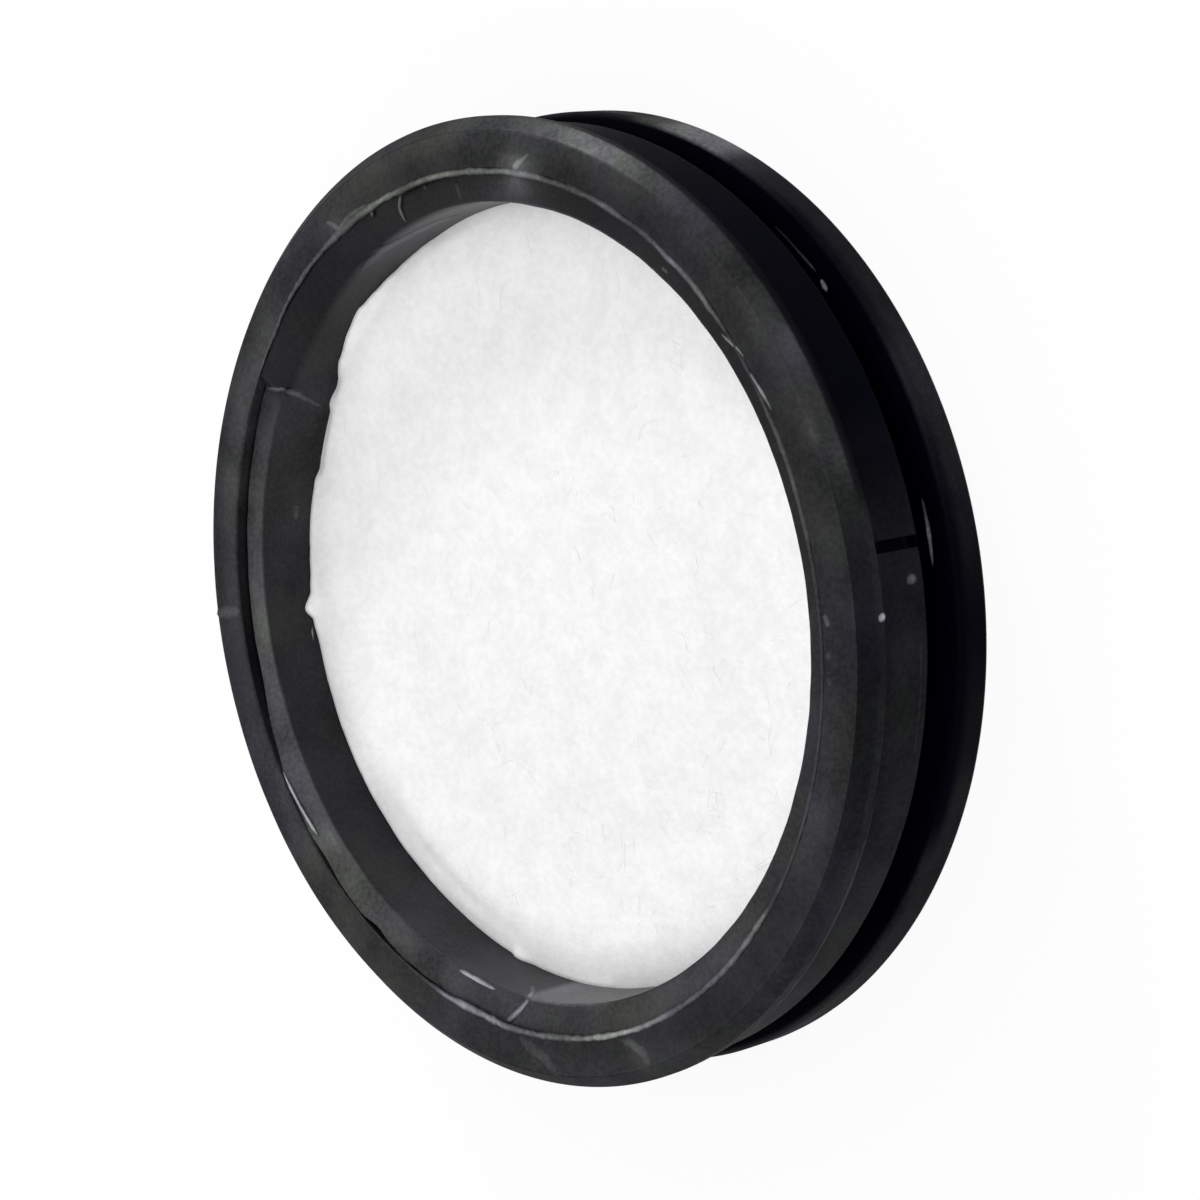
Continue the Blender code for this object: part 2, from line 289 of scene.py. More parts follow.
# On the inner ring: creases and a fibre streak, and painted highlights as pale strips on the ledge and wall.
INNER_MARKS = (
    ("ledge", (-163, 28.34, 0.1, 0.5), (-160, 28.25, 0.15, 1.0), (-157, 28.13, 0.14, 1.2),
     (-154.5, 28.03, 0.18, 1.2), (-151.5, 27.92, 0.12, 0.6)),
    ("ledge", (95.2, 28.5, 0.17, 0.2), (96.6, 27.7, 0.19, 0.2), (97.5, 26.7, 0.19, 0.22)),
    ("ledge", (91.3, 28.5, 0.15, 0.16), (90.4, 28.0, 0.14, 0.12)),
    ("ledge", (101.2, 28.5, 0.22, 0.2), (101.9, 27.95, 0.22, 0.16)),
    ("ledge", (84.5, 28.1, 0.2, 0.05), (84.5, 26.8, 0.2, 0.05)),
    ("ledge", (139.2, 28.4, 0.24, 0.12), (138.3, 27.7, 0.29, 0.2), (137.5, 26.9, 0.27, 0.17),
     (137.3, 26.6, 0.24, 0.14)),
    ("ledge", (-117.8, 26.72, 0.16, 0.5), (-113.5, 26.7, 0.27, 1.2), (-109.4, 26.72, 0.16, 0.5)),
    ("ledge", (-105.7, 28.35, 0.18, 0.25), (-104.6, 27.8, 0.22, 0.42), (-103.3, 27.1, 0.23, 0.48),
     (-102.6, 26.55, 0.22, 0.4)),
    ("ledge", (42.0, 27.1, 0.14, 0.15), (44.0, 27.1, 0.14, 0.15)),
    ("wall", (137.2, 9.85, 0.24, 0.14), (138.2, 8.6, 0.25, 0.16), (139.2, 7.7, 0.22, 0.12),
     (140.9, 6.1, 0.18, 0.07)),
    ("wall", (-102.5, 9.85, 0.2, 0.36), (-104.0, 8.9, 0.2, 0.24), (-106.4, 7.9, 0.16, 0.1)),
    ("wall", (112.0, 8.9, 0.4, 0.06), (105.5, 8.6, 0.55, 0.12), (99, 7.6, 0.55, 0.12),
     (93, 6.9, 0.4, 0.08)),
    ("wall", (176.6, 6.05, 0.05, 0.2), (177.7, 6.15, 0.08, 0.6), (179.3, 6.15, 0.06, 0.3)),
    ("wall", (157.0, 7.0, 0.3, 0.07), (159.8, 6.95, 0.3, 0.07)),
)


def add_node(tree, kind, inputs=None, **settings):
    """Add a node, set its settings, and give its inputs a value or a link each."""
    node = tree.nodes.new(kind)
    for name, value in settings.items():
        setattr(node, name, value)
    for name, value in (inputs or {}).items():
        if isinstance(value, bpy.types.NodeSocket):
            tree.links.new(value, node.inputs[name])
        else:
            node.inputs[name].default_value = value
    return node


def first_out(tree, kind, inputs=None, **settings):
    """First output of a new node."""
    return add_node(tree, kind, inputs, **settings).outputs[0]


def calc(tree, operation, *values):
    """Output of a Math node on numbers or sockets."""
    return first_out(tree, "ShaderNodeMath", dict(enumerate(values)), operation=operation)


def vector(tree, operation, *values, scale=None):
    """Output of a Vector Math node on vectors or sockets."""
    inputs = dict(enumerate(values))
    if scale is not None:
        inputs["Scale"] = scale
    node = add_node(tree, "ShaderNodeVectorMath", inputs, operation=operation)
    return node.outputs["Value" if operation == "LENGTH" else "Vector"]


def fade(tree, value, start, end):
    """0 where value is at start and 1 where it is at end, smooth between and flat beyond."""
    stops = {"Value": value, "From Min": start, "From Max": end}
    return first_out(tree, "ShaderNodeMapRange", stops, interpolation_type="SMOOTHSTEP")


def blend_value(tree, share, first, second):
    """Mix of two values by a share from 0 to 1."""
    rest = calc(tree, "SUBTRACT", 1.0, share)
    return calc(tree, "ADD", calc(tree, "MULTIPLY", first, rest), calc(tree, "MULTIPLY", second, share))


def blend_colour(tree, share, first, second, blend="MIX"):
    """Mix of two colours by a share from 0 to 1."""
    colours = {0: share, 6: first, 7: second}
    return add_node(tree, "ShaderNodeMix", colours, data_type="RGBA", blend_type=blend).outputs[2]


def noise(tree, place, scale, detail=2.0, roughness=0.5, distortion=0.0):
    """Value of a noise pattern at a place."""
    return first_out(tree, "ShaderNodeTexNoise", {
        "Vector": place,
        "Scale": scale,
        "Detail": detail,
        "Roughness": roughness,
        "Distortion": distortion,
    })


def bumps(tree, place, scale, height, detail=2.0):
    """Noise that swings about zero by half a height each way."""
    return calc(tree, "MULTIPLY", calc(tree, "SUBTRACT", noise(tree, place, scale, detail), 0.5), height)


def random_number(tree, low, high, seed):
    """Random value per point between two bounds."""
    return add_node(
        tree, "FunctionNodeRandomValue", {2: low, 3: high, "Seed": seed}, data_type="FLOAT").outputs[1]


def split_height(tree, place):
    """A place seen along the axis, as a vector, and its height."""
    parts = add_node(tree, "ShaderNodeSeparateXYZ", {0: place}).outputs
    return first_out(tree, "ShaderNodeCombineXYZ", {"X": parts[0], "Y": parts[1]}), parts[2]


def stored_value(tree, name):
    """Value per point stored on a mesh, in a geometry tree."""
    node = add_node(tree, "GeometryNodeInputNamedAttribute", {"Name": name}, data_type="FLOAT")
    return node.outputs["Attribute"]


def painted_value(tree, name):
    """Value per point stored on a mesh, in a material."""
    return add_node(tree, "ShaderNodeAttribute", attribute_name=name).outputs["Fac"]


def object_place(tree):
    """Place on a piece in the part's own axes, in a material."""
    return add_node(tree, "ShaderNodeTexCoord").outputs["Object"]


def push_out(tree, geometry, height):
    """Geometry with its points moved along their normals."""
    offset = vector(tree, "SCALE", first_out(tree, "GeometryNodeInputNormal"), scale=height)
    return first_out(tree, "GeometryNodeSetPosition", {"Geometry": geometry, "Offset": offset})


def finished(tree, geometry, finish):
    """Geometry shaded smooth, with instances made real and its finish set."""
    smooth = first_out(tree, "GeometryNodeSetShadeSmooth", {"Geometry": geometry})
    real = first_out(tree, "GeometryNodeRealizeInstances", {"Geometry": smooth})
    return first_out(tree, "GeometryNodeSetMaterial", {"Geometry": real, "Material": finish})


def new_group(name, kind, inputs, outputs):
    """A node group with named sockets, what it is given, and what it has to be sent."""
    tree = bpy.data.node_groups.new(name, kind)
    for label, socket, value in inputs:
        item = tree.interface.new_socket(label, in_out="INPUT", socket_type=socket)
        if value is not None:
            item.default_value = value
    for label, socket in outputs:
        tree.interface.new_socket(label, in_out="OUTPUT", socket_type=socket)
    return tree, tree.nodes.new("NodeGroupInput").outputs, tree.nodes.new("NodeGroupOutput").inputs


def use_group(tree, group, values):
    """Outputs of a shader node group placed in a material with its own values."""
    return add_node(tree, "ShaderNodeGroup", values, node_tree=group).outputs


def new_material(name, constants):
    """A material with its Principled shader's constants set, and that shader."""
    material = bpy.data.materials.new(name)
    material.use_nodes = True
    shader = material.node_tree.nodes["Principled BSDF"]
    for label, value in constants.items():
        shader.inputs[label].default_value = value
    return material, material.node_tree, shader


def link(obj):
    """Put an object in the scene."""
    bpy.context.scene.collection.objects.link(obj)
    return obj


def mesh_piece(name, points, edges=(), faces=()):
    """An object in the scene made from plain lists."""
    mesh = bpy.data.meshes.new(name)
    mesh.from_pydata(points, edges, faces)
    return link(bpy.data.objects.new(name, mesh))


def face_outwards(mesh, merge=0.0):
    """Turn a mesh's faces outwards, after joining points that are closer than merge."""
    shape = bmesh.new()
    shape.from_mesh(mesh)
    if merge:
        bmesh.ops.remove_doubles(shape, verts=shape.verts, dist=merge)
    bmesh.ops.recalc_face_normals(shape, faces=shape.faces)
    shape.to_mesh(mesh)
    shape.free()


def bake_modifiers(obj):
    """Replace an object's mesh by its evaluated one and remove the modifiers."""
    evaluated = obj.evaluated_get(bpy.context.evaluated_depsgraph_get())
    mesh = bpy.data.meshes.new_from_object(evaluated)
    obj.modifiers.clear()
    obj.data = mesh


def apply_tree(obj, tree, values):
    """Run a geometry tree on an object with these input values, and keep the plain mesh."""
    modifier = obj.modifiers.new(tree.name, "NODES")
    modifier.node_group = tree
    for item in tree.interface.items_tree:
        if item.in_out == "INPUT" and item.name in values:
            modifier[item.identifier] = values[item.name]
    bake_modifiers(obj)


def dress(piece, slot, *nodes):
    """Hide the solids that a piece stands for and fix it to the body; the finish slot it is given is not
    used.
    """
    if nodes:
        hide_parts(*nodes)
    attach(piece, ROOT)


def round_point(angle, radius, height):
    """Point at an angle in degrees as read in the photo, turned to the part's own axes."""
    turn = math.radians(angle + PHOTO_TURN)
    return Vector((radius * math.cos(turn), radius * math.sin(turn), height))


def outline_points(corners):
    """Outline corners with rows added along the straight runs, clear of the roundings."""
    points = []
    for index, corner in enumerate(corners):
        across, up, rounding, trim, dull_and_shaded = corner
        points.append(corner)
        next_across, next_up, next_rounding, next_trim, _ = corners[(index + 1) % len(corners)]
        length = math.hypot(next_across - across, next_up - up)
        clear = length - ROUNDING_REACH * (rounding + next_rounding)
        rows = int(clear / ROW_SPACING)
        for row in range(rows + 1 if rows > 0 else 0):
            share = (ROUNDING_REACH * rounding + clear * row / rows) / length
            edge = trim * max(0.0, 1 - 3 * share) + next_trim * max(0.0, 3 * share - 2)
            points.append(
                (across + (next_across - across) * share, up + (next_up - up) * share, 0.0, edge, dull_and_shaded))
    return points


def smooth_step(value):
    """0 below 0, 1 above 1, and smooth between."""
    value = np.clip(value, 0.0, 1.0)
    return value * value * (3 - 2 * value)


def rise(value, change):
    """Smooth rise from 0 to 1 over a stretch given as (start, width)."""
    return smooth_step((value - change[0]) / change[1])


def round_curve(angles, stops):
    """Smooth closed curve round the ring through (photo angle, value) stops, at angles in the part."""
    at = np.array([stop[0] for stop in stops], dtype=float)
    value = np.array([stop[1] for stop in stops], dtype=float)
    at = np.concatenate([at, at[:1] + 360])
    value = np.concatenate([value, value[:1]])
    angle = (angles - PHOTO_TURN - at[0]) % 360 + at[0]
    index = np.clip(np.searchsorted(at, angle, side="right") - 1, 0, len(stops) - 1)
    share = smooth_step((angle - at[index]) / (at[index + 1] - at[index]))
    return value[index] + (value[index + 1] - value[index]) * share


def curve_at(angle, stops):
    """Value of a round curve at one photo angle."""
    return float(round_curve(np.array([angle + PHOTO_TURN]), stops)[0])


def vertex_places(mesh):
    """Radius, angle in degrees and height of a mesh's points."""
    spots = np.empty(len(mesh.vertices) * 3)
    mesh.vertices.foreach_get("co", spots)
    spots = spots.reshape(-1, 3)
    radius = np.hypot(spots[:, 0], spots[:, 1])
    return radius, np.degrees(np.arctan2(spots[:, 1], spots[:, 0])), spots[:, 2].copy()


def move_vertices(mesh, radius, angle, height):
    """Put a mesh's points at new radii and heights."""
    turn = np.radians(angle)
    spots = np.stack([radius * np.cos(turn), radius * np.sin(turn), height], axis=1)
    mesh.vertices.foreach_set("co", spots.ravel())
    mesh.update()


def paint(mesh, name, values):
    """Store one value per point for the shaders."""
    attribute = mesh.attributes.new(name, "FLOAT", "POINT")
    attribute.data.foreach_set("value", values.astype(np.float32))


def turned_tree():
    """Geometry tree: rounds an outline's corners, turns it about Z, and adds the moulding's waves."""
    tree, given, result = new_group("turned_moulding", "GeometryNodeTree", [
        ("Geometry", GEOMETRY, None),
        ("Turn Radius", FLOAT, 0.03),
        ("Turn Steps", INTEGER, 360),
        ("Arc Steps", INTEGER, 4),
        ("Wave Height", FLOAT, 0.00004),
        ("Wave Scale", FLOAT, 120.0),
        ("Trim Height", FLOAT, 0.00008),
        ("Trim Scale", FLOAT, 420.0),
        ("Finish", MATERIAL, None),
        ("Shaded Dull Finish", MATERIAL, None),
    ], [("Geometry", GEOMETRY)])
    arcs = first_out(tree, "GeometryNodeFilletCurve", {
        "Curve": first_out(tree, "GeometryNodeMeshToCurve", {"Mesh": given["Geometry"]}),
        "Radius": stored_value(tree, "rounding"),
        "Count": given["Arc Steps"],
        "Limit Radius": True,
    }, mode="POLY")
    rail = first_out(tree, "GeometryNodeCurvePrimitiveCircle", {
        "Resolution": given["Turn Steps"],
        "Radius": given["Turn Radius"],
    })
    swept = first_out(tree, "GeometryNodeCurveToMesh", {"Curve": rail, "Profile Curve": arcs})
    place = first_out(tree, "GeometryNodeInputPosition")
    wave = bumps(tree, place, given["Wave Scale"], given["Wave Height"])
    trim = calc(tree, "MULTIPLY", bumps(tree, place, given["Trim Scale"], given["Trim Height"], detail=1.0),
                stored_value(tree, "trim"))
    moved = push_out(tree, swept, calc(tree, "ADD", wave, trim))
    # Painted shade: the dull, near-black finish goes where the outline marks it.
    shaded_dull_set = first_out(tree, "GeometryNodeSetMaterial", {
        "Geometry": finished(tree, moved, given["Finish"]),
        "Selection": calc(tree, "GREATER_THAN", stored_value(tree, "dull_and_shaded"), 0.5),
        "Material": given["Shaded Dull Finish"],
    })
    tree.links.new(shaded_dull_set, result["Geometry"])
    return tree


def turned_piece(name, corners, tree, finishes, wave_height, trim_height):
    """A ring turned from an outline. The profile lies in XY with its second axis downwards."""
    points = outline_points(corners)
    piece = mesh_piece(
        name,
        [(point[0] - OPENING_RADIUS, -point[1], 0.0) for point in points],
        [(index, (index + 1) % len(points)) for index in range(len(points))])
    for column, label in ((2, "rounding"), (3, "trim"), (4, "dull_and_shaded")):
        paint(piece.data, label, np.array([point[column] for point in points]))
    apply_tree(piece, tree, {
        "Turn Radius": OPENING_RADIUS,
        "Turn Steps": TURN_STEPS,
        "Arc Steps": ARC_STEPS,
        "Wave Height": wave_height,
        "Trim Height": trim_height,
        "Finish": finishes[0],
        "Shaded Dull Finish": finishes[1],
    })
    return piece


def mounting_ring_outline():
    """Section of the rubber moulding, down its outer side and up the bore.

    Each corner is (radius, height, rounding, share of the fine waves, 1 where the finish is dull and its
    near-black colour is painted shade).
    """
    return [
        (COUNTERBORE_RADIUS, RING_DEPTH, 0.00015, 1.0, 0.0),
        (RING_RADIUS - FRONT_CHAMFER, RING_DEPTH, 0.0002, 0.2, 1.0),
        (RING_RADIUS, RING_DEPTH - FRONT_CHAMFER, 0.0002, 0.1, 1.0),
        (RING_RADIUS, BAND_FRONT, 0.0003, 0.3, 1.0),
        (BAND_RADIUS, BAND_FRONT, 0.00015, 0.0, 1.0),
        (RIDGE_RADIUS, BAND_REAR, 0.0004, 0.6, 1.0),
        (GROOVE_FLOOR_RADIUS, BAND_REAR, 0.0002, 0.0, 1.0),
        (GROOVE_FLOOR_RADIUS, REAR_FLANGE_FRONT, 0.0002, 0.0, 1.0),
        (RING_RADIUS, REAR_FLANGE_FRONT, 0.0004, 0.4, 1.0),
        (RING_RADIUS, 0.0, 0.00015, 0.0, 0.0),
        (OPENING_RADIUS, 0.0, 0.00015, 0.3, 0.0),
        (OPENING_RADIUS, REAR_LIP_FRONT, 0.00035, 0.3, 0.0),
        (BORE_RADIUS, REAR_LIP_FRONT, 0.0, 0.0, 0.0),
        (BORE_RADIUS, COUNTERBORE_FLOOR, 0.0, 0.0, 0.0),
        (COUNTERBORE_RADIUS, COUNTERBORE_FLOOR, 0.0, 0.0, 1.0),
    ]


def retaining_ring_outline():
    """Section of the flanged plastic sleeve, in the same form."""
    sleeve = BORE_RADIUS - CLEARANCE
    return [
        (OPENING_RADIUS, RETAINER_FRONT, 0.0002, 1.0, 0.0),
        (RETAINER_FLANGE_RADIUS, RETAINER_FRONT, 0.00012, 1.0, 0.0),
        (RETAINER_FLANGE_RADIUS, RETAINER_FLANGE_REAR, 0.0, 0.0, 0.0),
        (sleeve, RETAINER_FLANGE_REAR, 0.0, 0.0, 0.0),
        (sleeve, RETAINER_REAR, 0.0, 0.0, 0.0),
        (OPENING_RADIUS, RETAINER_REAR, 0.0001, 0.0, 0.0),
    ]


def blend(share, first, second):
    """Mix of two values by a share from 0 to 1."""
    return first * (1 - share) + second * share


def soft_spots(surface, radius, angle):
    """Paleness that a surface's soft spots add."""
    total = np.zeros(len(angle))
    for name, centre, middle, half_length, half_width, paleness in SOFT_SPOTS:
        if name == surface:
            turn = np.radians((angle - PHOTO_TURN - centre + 180) % 360 - 180)
            along = turn * middle / half_length
            total += paleness * np.exp(-along ** 2 - ((radius / MM - middle) / half_width) ** 2)
    return total


def painted_face_shading(radius, angle):
    """Painted light and shade of the front face and its chamfer, with its soft paler spots."""
    corner = RING_RADIUS - FRONT_CHAMFER
    plain = blend(
        rise(radius, FACE_SHADING_CHANGE),
        round_curve(angle, FACE_INNER_SHADING), round_curve(angle, FACE_OUTER_SHADING))
    painted_shading = blend(smooth_step((radius - corner + 0.00012) / 0.0001), plain, round_curve(angle, CHAMFER_SHADING))
    return painted_shading + soft_spots("face", radius, angle)


def painted_side_shading(height, angle):
    """Painted light and shade of the band, and of the front flange's side above it, with painted shade
    towards the flange's lower edge.
    """
    shade = round_curve(angle, FLANGE_SHADE) * (1 - rise(height, FLANGE_SHADE_CHANGE))
    return blend(
        rise(height, FLANGE_SHADING_CHANGE),
        round_curve(angle, BAND_SHADING), round_curve(angle, FLANGE_SHADING) * (1 - shade))


def painted_ledge_shading(radius, angle):
    """Painted light and shade of the inner ring's ledge, which takes the wall's painted light at its inner
    corner, with its soft paler spots.
    """
    outer = smooth_step((radius - round_curve(angle, LEDGE_INSIDE) * MM) / 0.0002 + 0.5)
    painted_shading = blend(outer, round_curve(angle, WALL_SHADING), round_curve(angle, LEDGE_SHADING))
    return painted_shading + soft_spots("ledge", radius, angle)


def painted_wall_shading(_, angle):
    """Painted light and shade of the inner ring's wall, the same at each height."""
    return round_curve(angle, WALL_SHADING)


def painted_surface_shading(surface, angle, across):
    """Painted light and shade of a surface at a photo angle and a radius or height in millimetres."""
    if surface == "rear":
        return 0.0
    painted_shading = {"face": painted_face_shading, "ledge": painted_ledge_shading, "wall": painted_wall_shading}.get(surface, painted_side_shading)
    return float(painted_shading(np.array([across * MM]), np.array([angle + PHOTO_TURN]))[0])


def draw_face_edge(ring):
    """Let the front face's inner edge wander as on the real moulding, and paint the ring's light and shade
    into its colour.
    """
    radius, angle, height = vertex_places(ring.data)
    near = smooth_step((FACE_EDGE_END - radius) / FACE_EDGE_WIDTH)
    near *= (radius > BORE_RADIUS + 0.0003) & (height > COUNTERBORE_FLOOR - 0.0002)
    shift = round_curve(angle, FACE_EDGE) * MM - COUNTERBORE_RADIUS
    move_vertices(ring.data, radius + shift * near, angle, height)
    front = smooth_step((height - (RING_DEPTH - FRONT_CHAMFER) + 0.0001) / 0.0002)
    side = (radius > GROOVE_FLOOR_RADIUS - 0.0001) * (height > GROOVE_MIDDLE)
    rear = smooth_step((radius - RING_RADIUS + 0.0004) / 0.0003) * (height <= GROOVE_MIDDLE)
    # Painted light and shade: face and chamfer in front, flange side and band behind, and the rear flange
    # with painted shade towards its front edge.
    painted_shading = blend(front, painted_side_shading(height, angle) * side, painted_face_shading(radius, angle))
    shade = round_curve(angle, REAR_SHADE) * rise(height, REAR_SHADE_CHANGE)
    painted_shading += round_curve(angle, REAR_SHADING) * (1 - shade) * rear
    paint(ring.data, "shading_and_marks", painted_shading)


def draw_retainer(retainer):
    """Draw the inner ring's flange out to the bore, and raise and round it where it sits crooked."""
    radius, angle, height = vertex_places(retainer.data)
    top = smooth_step((height - RETAINER_FLANGE_REAR - 0.0001) / 0.0004)
    outer = rise(radius, RETAINER_REACH_CHANGE)
    reach = (round_curve(angle, FACE_EDGE) - round_curve(angle, FLANGE_GAP)) * MM - RETAINER_FLANGE_RADIUS
    lift = round_curve(angle, FLANGE_LIFT) * MM
    across = radius - (OPENING_RADIUS + SHOULDER_RADIUS)
    up = height - (RETAINER_FRONT - SHOULDER_RADIUS)
    away = np.maximum(np.hypot(across, up), 0.00001)
    in_corner = (across < 0) & (up > 0) & (away > SHOULDER_RADIUS)
    pull = np.where(in_corner, round_curve(angle, SHOULDER) * (SHOULDER_RADIUS / away - 1), 0.0)
    # Painted light and shade of the ledge and wall.
    painted_shading = painted_ledge_shading(radius, angle) * top + round_curve(angle, WALL_SHADING) * (1 - top)
    new_radius = radius + across * pull + reach * outer * (height > RETAINER_FLANGE_REAR - 0.0001)
    new_height = height + up * pull + lift * top * rise(radius, RETAINER_LIFT_CHANGE)
    move_vertices(retainer.data, new_radius, angle, new_height)
    paint(retainer.data, "shading_and_marks", painted_shading)


def cut_notch(ring):
    """Cut the narrow locating notch through the band, from the flange into the groove."""
    reach = RING_RADIUS - RIDGE_RADIUS + NOTCH_DEPTH
    height = BAND_WIDTH + GROOVE_WIDTH / 2
    low = Vector((RING_RADIUS - reach, -NOTCH_WIDTH / 2, BAND_FRONT - height))
    high = Vector((RING_RADIUS + 0.0002, NOTCH_WIDTH / 2, BAND_FRONT))
    mesh = bpy.data.meshes.new("notch_tool")
    shape = bmesh.new()
    bmesh.ops.create_cube(shape, size=1.0)
    bmesh.ops.scale(shape, vec=high - low, verts=shape.verts)
    bmesh.ops.translate(shape, vec=(low + high) / 2, verts=shape.verts)
    shape.to_mesh(mesh)
    shape.free()
    for material in ring.data.materials:
        mesh.materials.append(material)
    mesh.polygons.foreach_set("material_index", [1] * len(mesh.polygons))
    tool = link(bpy.data.objects.new("notch_tool", mesh))
    cut = ring.modifiers.new("notch", "BOOLEAN")
    cut.object = tool
    cut.operation = "DIFFERENCE"
    cut.solver = "EXACT"
    bake_modifiers(ring)
    bpy.data.objects.remove(tool)
    ring.data.set_sharp_from_angle(angle=SHARP_ANGLE)


def felt_disc():
    """Felt disc: two square nets drawn out to a round, closed at the rim, with its worn edge shaped."""
    half = (DISC_FRONT - DISC_REAR) / 2
    middle = (DISC_FRONT + DISC_REAR) / 2
    flat = DISC_RADIUS - FELT_RIM
    arc = FELT_RIM * math.pi / 2
    whole = flat + arc + half - FELT_RIM
    shown = (OPENING_RADIUS - 0.00003) / whole
    outer_cells = FELT_CELLS // 18
    share = np.concatenate([
        np.linspace(0.0, shown, FELT_CELLS // 2 - outer_cells, endpoint=False),
        np.linspace(shown, 1.0, outer_cells + 1)])
    side = np.concatenate([-share[:0:-1], share])
    a, b = np.meshgrid(side, side, indexing="ij")
    wide = np.abs(a) > np.abs(b)
    longer = np.where(wide, a, b)
    shorter = np.where(wide, b, a)
    ratio = np.divide(shorter, longer, out=np.zeros_like(a), where=longer != 0)
    turn = np.where(wide, np.pi / 4 * ratio, np.pi / 2 - np.pi / 4 * ratio)
    turn = np.where(longer < 0, turn + np.pi, turn)
    run = np.abs(longer) * whole
    bend = np.clip((run - flat) / FELT_RIM, 0, np.pi / 2)
    drop = np.clip(run - flat - arc, 0, None)
    radius = np.where(run < flat, run, flat + FELT_RIM * np.sin(bend))
    height = half - np.where(run < flat, 0, FELT_RIM * (1 - np.cos(bend))) - drop
    degrees = np.degrees(turn)
    swell = RETAINER_REAR + 0.00005
    ragged = round_curve(degrees, FELT_EDGE) * MM
    smooth = sum(round_curve(degrees + away, FELT_EDGE) for away in range(-18, 19, 3)) * MM / 13
    lift = swell - DISC_FRONT + (smooth - swell) * rise(radius, FELT_CROWN_CHANGE)
    lift += (ragged - smooth) * rise(radius, FELT_EDGE_CHANGE)
    aside = np.abs((degrees - DIP_ANGLE - PHOTO_TURN + 180) % 360 - 180)
    dip = smooth_step(1 - aside / DIP_SPREAD) * np.exp(-((radius - DIP_RADIUS) / DIP_WIDTH) ** 2)
    lift -= DIP_DEPTH * dip
    lift = np.where(radius > OPENING_RADIUS, 0.8 * (RETAINER_REAR - DISC_FRONT), lift)
    up = middle + height + lift * (run < flat)
    front = np.stack([radius * np.cos(turn), radius * np.sin(turn), up], axis=-1)
    back = front.copy()
    back[..., 2] = middle - height
    count = FELT_CELLS + 1
    index = np.arange(count * count).reshape(count, count)
    quads = np.stack([index[:-1, :-1], index[1:, :-1], index[1:, 1:], index[:-1, 1:]], axis=-1)
    quads = quads.reshape(-1, 4)
    faces = np.concatenate([quads, quads[:, ::-1] + count * count])
    points = np.concatenate([front.reshape(-1, 3), back.reshape(-1, 3)])
    piece = mesh_piece("felt_disc", points, [], faces.tolist())
    face_outwards(piece.data, merge=0.000002)
    radius, angle, _ = vertex_places(piece.data)
    shade = 0.115 * (1 - rise(radius, FELT_CENTRE_CHANGE))
    shade += round_curve(angle, FELT_SHADE) * rise(radius, FELT_SHADE_CHANGE)
    paint(piece.data, "shade", shade)
    return piece


def felt_tree():
    """Geometry tree: raises the felt's clumps and finer nap over a plain surface."""
    tree, given, result = new_group("felt_clumps", "GeometryNodeTree", [
        ("Geometry", GEOMETRY, None),
        ("Clump Height", FLOAT, 0.00008),
        ("Clump Scale", FLOAT, 550.0),
        ("Nap Height", FLOAT, 0.00003),
        ("Nap Scale", FLOAT, 1700.0),
        ("Finish", MATERIAL, None),
    ], [("Geometry", GEOMETRY)])
    place = first_out(tree, "GeometryNodeInputPosition")
    clump = bumps(tree, place, given["Clump Scale"], given["Clump Height"], detail=3.0)
    nap = bumps(tree, place, given["Nap Scale"], given["Nap Height"])
    moved = push_out(tree, given["Geometry"], calc(tree, "ADD", clump, nap))
    tree.links.new(finished(tree, moved, given["Finish"]), result["Geometry"])
    return tree


